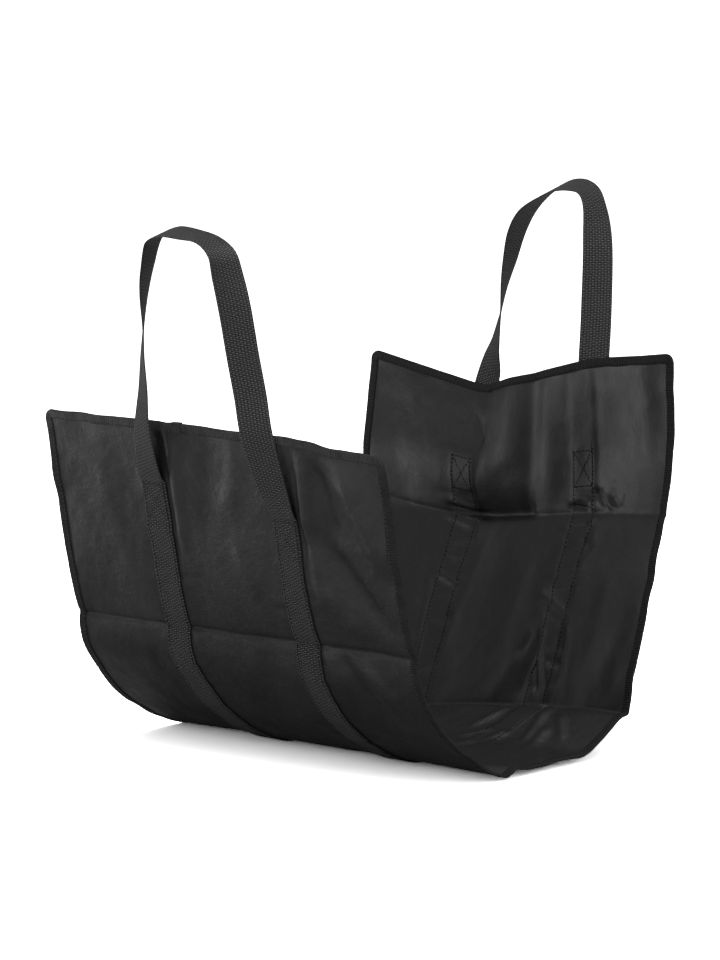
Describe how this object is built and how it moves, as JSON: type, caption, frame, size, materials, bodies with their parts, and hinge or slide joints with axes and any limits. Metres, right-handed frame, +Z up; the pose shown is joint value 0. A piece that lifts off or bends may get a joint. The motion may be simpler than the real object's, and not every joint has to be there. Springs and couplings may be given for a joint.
{
  "type": "firewood bag",
  "caption": "Open log carrier: a bound cloth sheet bent into a trough, with webbing sewn under it that rises in a tall carrying loop from each wall.",
  "frame": {"origin": "middle of the outer box, on the surface that the bag stands on", "axes": "+X from the left wall to the right wall, +Y from the open front to the open rear, +Z up"},
  "size_m": [0.598, 0.4528, 0.5652],
  "materials": {
    "cloth": "matte plain weave outside, smooth coating inside",
    "binding": "matte folded tape",
    "webbing": "ribbed webbing with a slight sheen"
  },
  "bodies": {
    "root": {"cloth_sheet": "cloth", "edge_binding": "binding", "left_webbing": "webbing", "right_webbing": "webbing"}
  },
  "joints": []
}
